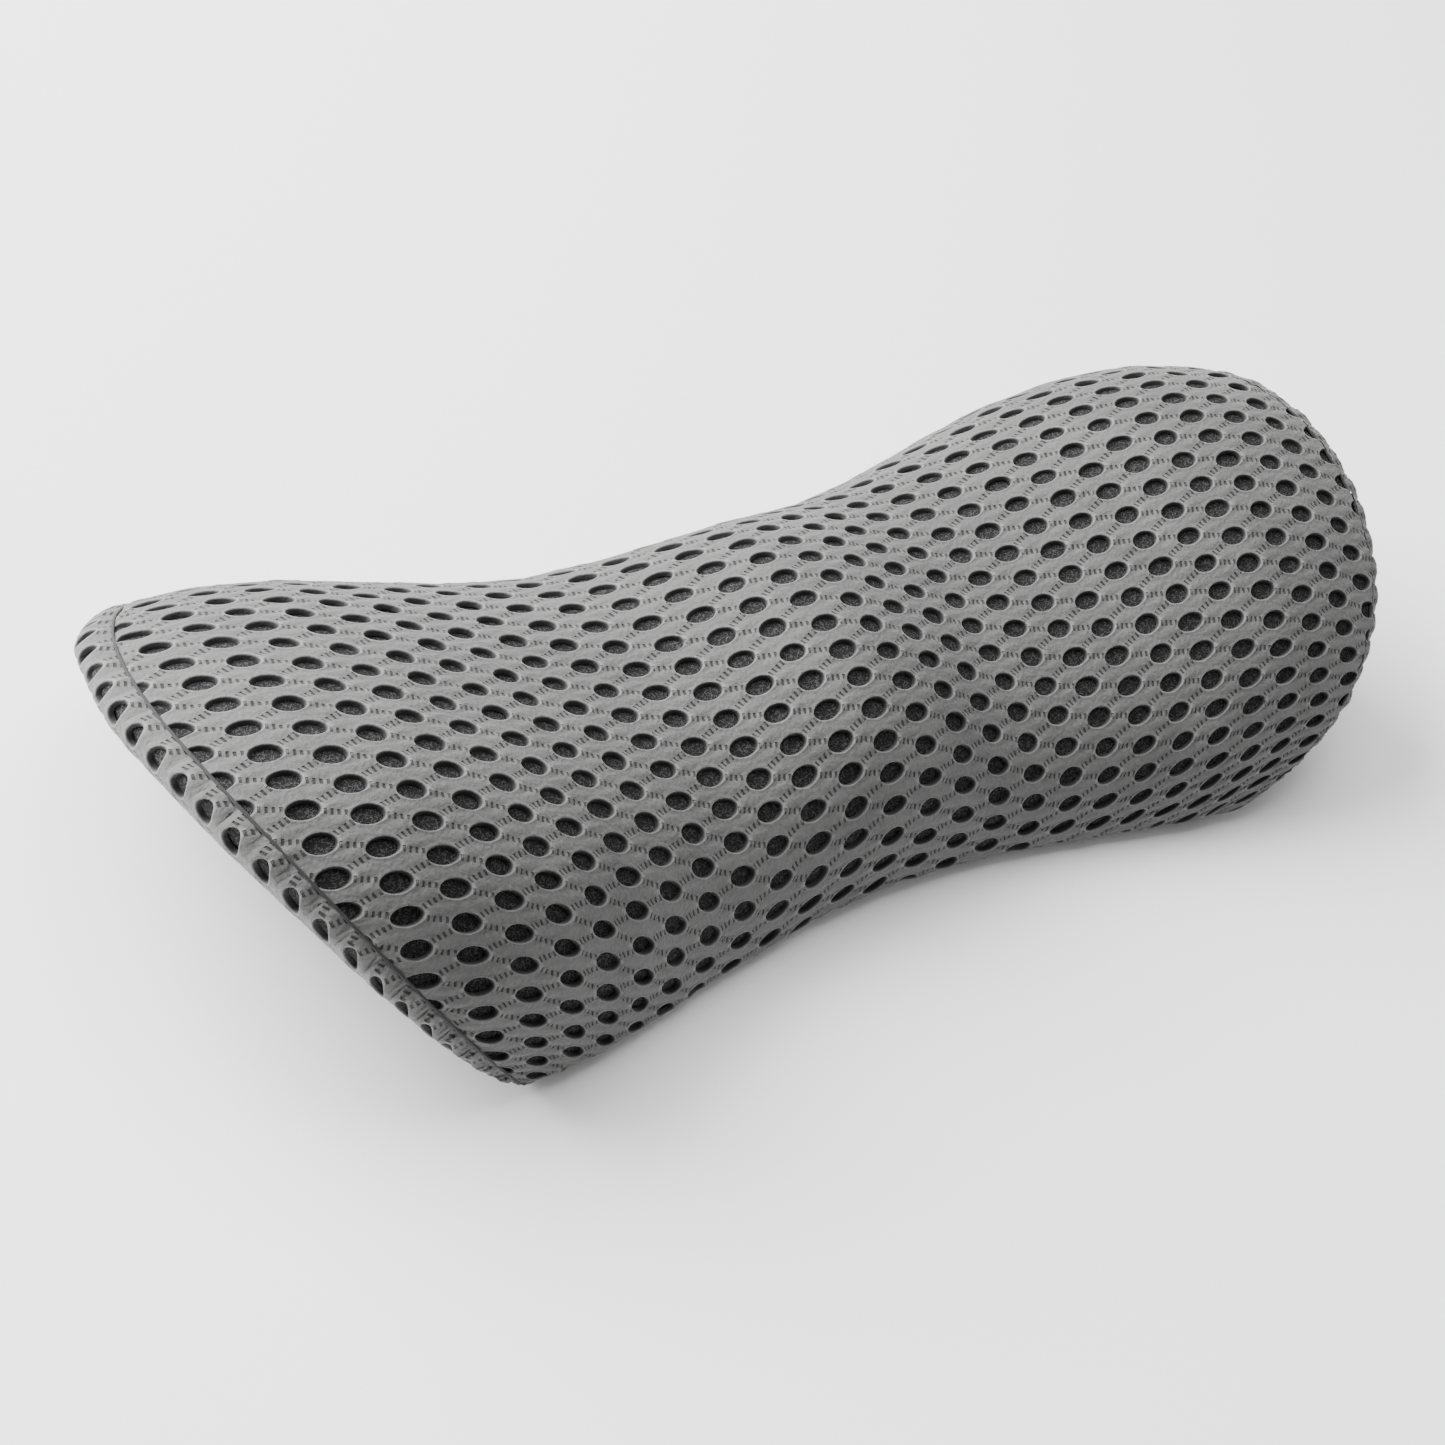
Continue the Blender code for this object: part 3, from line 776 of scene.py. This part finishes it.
# Painted highlight on the hole lips: its share and its lightness.
RIM_HIGHLIGHT_SHARE = 0.55
RIM_HIGHLIGHT_LIGHTNESS = 1.75
FACE_BUMP = 0.00035
YARN_RIDGE = (0.09, 0.01)
BACKING_BUMP = 0.0004
RIB_DISTORTION = 1.5
RIB_SHARE = 0.6
KNIT_BUMP = 0.0002
GRAIN_SCALE = 1400.0
WEAR_SCALE = 160.0
WEAR_SHADE = 0.7
GRAIN_BUMP = 0.00004


def stroke_family(look, along, across):
    """Dark ticks across the links of one direction, from hole to hole."""
    offset = look.math("SUBTRACT", look.math("FRACT", look.math("ADD", across, 0.5)), 0.5)
    place = look.math("MULTIPLY_ADD", offset, LINK_SLANT, look.math("FRACT", along))
    wave = look.math("COSINE", look.math(
        "MULTIPLY", look.math("SUBTRACT", place, STROKE_FIRST), 2.0 * math.pi / STROKE_STEP))
    tick = look.ramp(wave, *STROKE_EDGES)
    span = STROKE_STEP * STROKES
    first = STROKE_FIRST - STROKE_STEP / 2
    inside = look.math("MULTIPLY", look.math("GREATER_THAN", place, first),
                       look.math("LESS_THAN", place, first + span))
    reach = look.ramp(look.math("ABSOLUTE", offset), LINK_HALF_WIDTH, LINK_HALF_WIDTH * LINK_CORE)
    return look.math("MULTIPLY", look.math("MULTIPLY", tick, inside), reach)


def mesh_face_material(name, light, dark, hole):
    look = Shading(name, 0.82, sheen=0.15, specular=0.25)
    x, y = look.uv("lattice")
    along = look.math("MULTIPLY", look.math("ADD", x, y), 0.5)
    across = look.math("MULTIPLY", look.math("SUBTRACT", x, y), 0.5)
    ticks = look.math("MAXIMUM", stroke_family(look, along, across), stroke_family(look, across, along))
    place = look.place()
    fine = look.noise(place, YARN_SCALE, 2.0)
    patch = look.math("MULTIPLY", look.noise(place, PATCH_SCALE, 2.0), 1.0 - YARN_SHARE)
    shade = look.math("MULTIPLY_ADD", fine, YARN_SHARE, patch)
    cloth = look.mix(look.ramp(shade, 0.25, 0.75), dark, light)
    tick_colour = tuple(c * TICK_SHADE for c in dark)
    cloth = look.mix(look.math("MULTIPLY", ticks, TICK_STRENGTH), cloth, tick_colour)
    # Painted highlight: the hole lips are coloured lighter than the cloth.
    rim = look.ramp(look.value("rim"), 0.35, 1.0)
    painted_rim_highlight = tuple(c * RIM_HIGHLIGHT_LIGHTNESS for c in light)
    cloth = look.mix(look.math("MULTIPLY", rim, RIM_HIGHLIGHT_SHARE), cloth, painted_rim_highlight)
    # Painted shade: the hole walls darken towards the hole's floor.
    painted_hole_shade = look.value("painted_hole_shade")
    look.colour(look.mix(look.ramp(painted_hole_shade, 0.0, 0.45), cloth, hole))
    look.roughness(look.math("MULTIPLY_ADD", fine, 0.2, 0.68))
    knit = look.math("MULTIPLY_ADD", ticks, TICK_RELIEF, fine)
    look.bump(knit, FACE_BUMP, 0.9)
    return look.material


def backing_material(name, light, dark):
    look = Shading(name, 0.9, specular=0.2)
    place = look.place()
    blot = look.noise(place, YARN_SCALE, 2.0)
    ridge = look.math("ABSOLUTE", look.math("SUBTRACT", blot, 0.5))
    yarn = look.ramp(ridge, *YARN_RIDGE)
    look.colour(look.mix(yarn, dark, light))
    look.bump(yarn, BACKING_BUMP, 0.9)
    return look.material


def knit_material(name, light, dark, scale, roughness=0.9):
    look = Shading(name, roughness, sheen=0.1, specular=0.25)
    place = look.place()
    rib = look.wave(place, scale, RIB_DISTORTION)
    fine = look.noise(place, scale * 2.5, 2.0)
    shade = look.math("MULTIPLY_ADD", rib, RIB_SHARE, look.math("MULTIPLY", fine, 1.0 - RIB_SHARE))
    look.colour(look.mix(shade, dark, light))
    look.roughness(look.math("MULTIPLY_ADD", fine, 0.15, roughness - 0.1))
    look.bump(shade, KNIT_BUMP, 0.6)
    return look.material


def metal_material(name, colour, roughness):
    look = Shading(name, roughness, metallic=1.0)
    place = look.place()
    grain = look.noise(place, GRAIN_SCALE, 3.0)
    wear = look.noise(place, WEAR_SCALE, 2.0)
    look.colour(look.mix(wear, tuple(c * WEAR_SHADE for c in colour), colour))
    look.roughness(look.math("MULTIPLY_ADD", grain, 0.2, roughness - 0.1))
    look.bump(grain, GRAIN_BUMP, 0.4)
    return look.material


FACE_LIGHT = (0.112, 0.112, 0.110)
FACE_DARK = (0.070, 0.070, 0.069)
# Colour of the painted shade deep in the holes.
HOLE_PAINTED_SHADE = (0.017, 0.017, 0.018)

face_cloth = mesh_face_material("mesh_face", FACE_LIGHT, FACE_DARK, HOLE_PAINTED_SHADE)
backing_cloth = backing_material("mesh_backing", (0.056, 0.056, 0.056), (0.012, 0.012, 0.013))
liner_cloth = knit_material("liner_look", (0.78, 0.78, 0.76), (0.6, 0.6, 0.58), 700.0)
foam_look = knit_material("foam_look", (0.85, 0.81, 0.66), (0.74, 0.69, 0.52), 90.0)
# Near-black seam thread: partly its own colour, partly painted shade of the seam groove.
thread_and_groove_shade = knit_material("thread_and_groove_shade", (0.030, 0.030, 0.031), (0.012, 0.012, 0.012), 1500.0, 0.75)
hem_cloth = knit_material("hem_look", FACE_LIGHT, FACE_DARK, 800.0)
stitch_look = knit_material("stitch_look", (0.035, 0.035, 0.036), (0.018, 0.018, 0.018), 1500.0, 0.7)
zip_cloth = knit_material("tape_look", (0.06, 0.06, 0.065), (0.025, 0.025, 0.028), 900.0)
nylon = knit_material("coil_look", (0.055, 0.055, 0.060), (0.030, 0.030, 0.032), 1200.0, 0.42)
zip_metal = metal_material("slider_look", (0.30, 0.30, 0.31), 0.38)

# ---------------------------------------------------------------- panels

PITCH = (PITCH_LONG, PITCH_SHORT)


def keep(piece):
    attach(piece, "cushion")


def mesh_and_backing(word, chart, start, hole, insets, seams, seed, depth_shift=0.0):
    """Perforated panel and the dark layer under it."""
    panel = mesh_panel("mesh_" + word, chart, np.array(start), PITCH, hole, np.array(insets),
                       seams, face_cloth, seed, depth_shift)
    keep(panel)
    keep(plain_panel("backing_" + word, chart, BACKING_DEPTH, np.zeros(3), backing_cloth))
    return panel


top = body_chart()
top_insets = (SEAM_INSET, SEAM_INSET, 0.0)
cover_top = mesh_and_backing("top", top, LATTICE_START, (HOLE_LONG, HOLE_SHORT), top_insets,
                             [(0, 1, SEAM_DIP), (1, 1, SHALLOW_DIP)], 3)
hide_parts("cover_top_panel")
liner = plain_panel("liner_over", top, LINER_DEPTH, np.array(top_insets) + LINER_INSET,
                    liner_cloth, LINER_STEP)
keep(liner)
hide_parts("liner_top")

for word, end, dip in (("left", -1, SEAM_DIP), ("right", 1, SHALLOW_DIP)):
    chart = end_chart(end)
    panel = mesh_and_backing("end_" + word, chart, (END_ROW_START, 0.0), (END_HOLE_LONG, END_HOLE_SHORT),
                             (SEAM_INSET, 0.0, 0.0), [(0, 1, dip)], 11 + end)
    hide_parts("end_panel_" + word)
    keep(seam_thread("seam_thread_" + word, chart, thread_and_groove_shade))

for word, side in (("front", -1), ("rear", 1)):
    panel = mesh_and_backing("bottom_" + word, bottom_chart(side), LATTICE_START, (HOLE_LONG, HOLE_SHORT),
                             (0.0, 0.0, 0.0), [(2, 0, SHALLOW_DIP)], 21 + side, UNDERSIDE_SHIFT)
    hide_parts("cover_bottom_" + word)

# ---------------------------------------------------------------- zip, hems and piping

for word, side in (("front", -1), ("rear", 1)):
    profile = [(side * place, height) for place, height in HEM_PROFILE]
    keep(swept("zip_hem_" + word, profile, -HEM_REACH, HEM_REACH, 0, hem_cloth))
    keep(stitch_row("hem_stitches_" + word, -HEM_REACH, HEM_REACH - STITCH_PITCH,
                    side * STITCH_PLACE, STITCH_HEIGHT, stitch_look))
    low, high = (np.array(corner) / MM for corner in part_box("zip_coil_" + word))
    coil = nylon_coil("nylon_coil_" + word, low, high, side, nylon)
    keep(coil)
    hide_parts("zip_coil_" + word)

for word, end in (("left", -1), ("right", 1)):
    profile = [(end * place, height) for place, height in TAB_PROFILE]
    profile.append((end * TAB_INNER_ENDS[word], TAB_LEVEL))
    keep(swept("zip_tab_" + word, profile, -TAB_HALF_WIDTH, TAB_HALF_WIDTH, 1, zip_cloth))

outline = base_edge()
points, faces = tube_cells(outline, np.tile(DOWN, (len(outline), 1)), BASE_EDGE_RADIUS)
raised = points + np.array([0.0, 0.0, BASE_EDGE_RADIUS / 2])
keep(make_mesh("base_piping", raised, faces, hem_cloth))

# ---------------------------------------------------------------- carried-over parts

NODE_LOOKS = (
    (foam_look, ("foam_core",)),
    (liner_cloth, ("liner_top", "liner_bottom")),
    (zip_cloth, ("zip_tape_front", "zip_tape_rear")),
    (nylon, ("zip_coil_front", "zip_coil_rear")),
    (zip_metal, ("zip_slider", "zip_pull_tab", "zip_top_stop_front", "zip_top_stop_rear",
                 "zip_bottom_stop")),
    (face_cloth, ("cover_top_panel", "cover_bottom_front", "cover_bottom_rear",
                  "end_panel_left", "end_panel_right")),
)

for material, nodes in NODE_LOOKS:
    for node in nodes:
        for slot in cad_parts[node].material_slots:
            slot.material = material

# ---------------------------------------------------------------- stage, light, camera

# The stage is in metres and watts.
FLOOR_REACH = 6.0
FLOOR_GAP = 0.0015
FLOOR_LIGHT = (0.97, 0.97, 0.97)
FLOOR_DARK = (0.955, 0.955, 0.955)
LIGHT_AIM = (0.0, 0.0, 0.03)
KEY_PLACE = (-1.1, 1.5, 1.0)
KEY_SIZE = 2.0
KEY_POWER = 255.0
TOP_PLACE = (0.1, 0.5, 2.0)
TOP_SIZE = 1.6
TOP_POWER = 42.0
SKY_STRENGTH = 0.42

floor_mesh = bpy.data.meshes.new("floor")
corners = [(x * FLOOR_REACH, y * FLOOR_REACH, 0.0) for x, y in ((-1, -1), (1, -1), (1, 1), (-1, 1))]
floor_mesh.from_pydata(corners, [], [(0, 1, 2, 3)])
floor = bpy.data.objects.new("floor", floor_mesh)
floor.location = (0.0, 0.0, cad_low.z - FLOOR_GAP)
floor_look = Shading("floor_look", 0.9, specular=0.1)
floor_patch = floor_look.noise(floor_look.place(), 3.0)
floor_look.colour(floor_look.mix(floor_patch, FLOOR_DARK, FLOOR_LIGHT))
floor.data.materials.append(floor_look.material)
bpy.context.scene.collection.objects.link(floor)
floor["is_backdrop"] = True


def area_light(name, place, size, power):
    data = bpy.data.lights.new(name, "AREA")
    data.shape = "SQUARE"
    data.size = size
    data.energy = power
    lamp = bpy.data.objects.new(name, data)
    lamp.location = place
    lamp.rotation_mode = "QUATERNION"
    lamp.rotation_quaternion = (Vector(LIGHT_AIM) - Vector(place)).to_track_quat("-Z", "Y")
    bpy.context.scene.collection.objects.link(lamp)


area_light("key", KEY_PLACE, KEY_SIZE, KEY_POWER)
area_light("top", TOP_PLACE, TOP_SIZE, TOP_POWER)

world = bpy.data.worlds.new("studio")
world.use_nodes = True
world.node_tree.nodes["Background"].inputs["Color"].default_value = (1.0, 1.0, 1.0, 1.0)
world.node_tree.nodes["Background"].inputs["Strength"].default_value = SKY_STRENGTH
bpy.context.scene.world = world

# Camera, in degrees and in millimetres. The shift moves it left and down in its own plane.
CAMERA_AZIMUTH = -55.69
CAMERA_ELEVATION = 43.93
CAMERA_ROLL = 27.11
CAMERA_DISTANCE = 757.3
CAMERA_LENS = 67.27
CAMERA_SENSOR = 36.0
CAMERA_SHIFT = (22.23, 17.14)
CAMERA_TARGET = (0.0, -3.6, 35.0)


def make_camera():
    azimuth, elevation, roll = (math.radians(angle) for angle in
                                (CAMERA_AZIMUTH, CAMERA_ELEVATION, CAMERA_ROLL))
    back = Vector((math.sin(azimuth) * math.cos(elevation), -math.cos(azimuth) * math.cos(elevation),
                   math.sin(elevation)))
    level = Vector((math.cos(azimuth), math.sin(azimuth), 0.0))
    upright = back.cross(level)
    right = math.cos(roll) * level + math.sin(roll) * upright
    up = -math.sin(roll) * level + math.cos(roll) * upright
    place = (Vector(CAMERA_TARGET) + CAMERA_DISTANCE * back
             - CAMERA_SHIFT[0] * right - CAMERA_SHIFT[1] * up) * MM
    data = bpy.data.cameras.new("camera")
    data.lens = CAMERA_LENS
    data.sensor_width = CAMERA_SENSOR
    data.clip_start = 0.01
    camera = bpy.data.objects.new("camera", data)
    turn = Matrix((right, up, back)).transposed().to_4x4()
    camera.matrix_world = Matrix.Translation(place) @ turn
    bpy.context.scene.collection.objects.link(camera)
    bpy.context.scene.camera = camera


make_camera()

low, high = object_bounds()
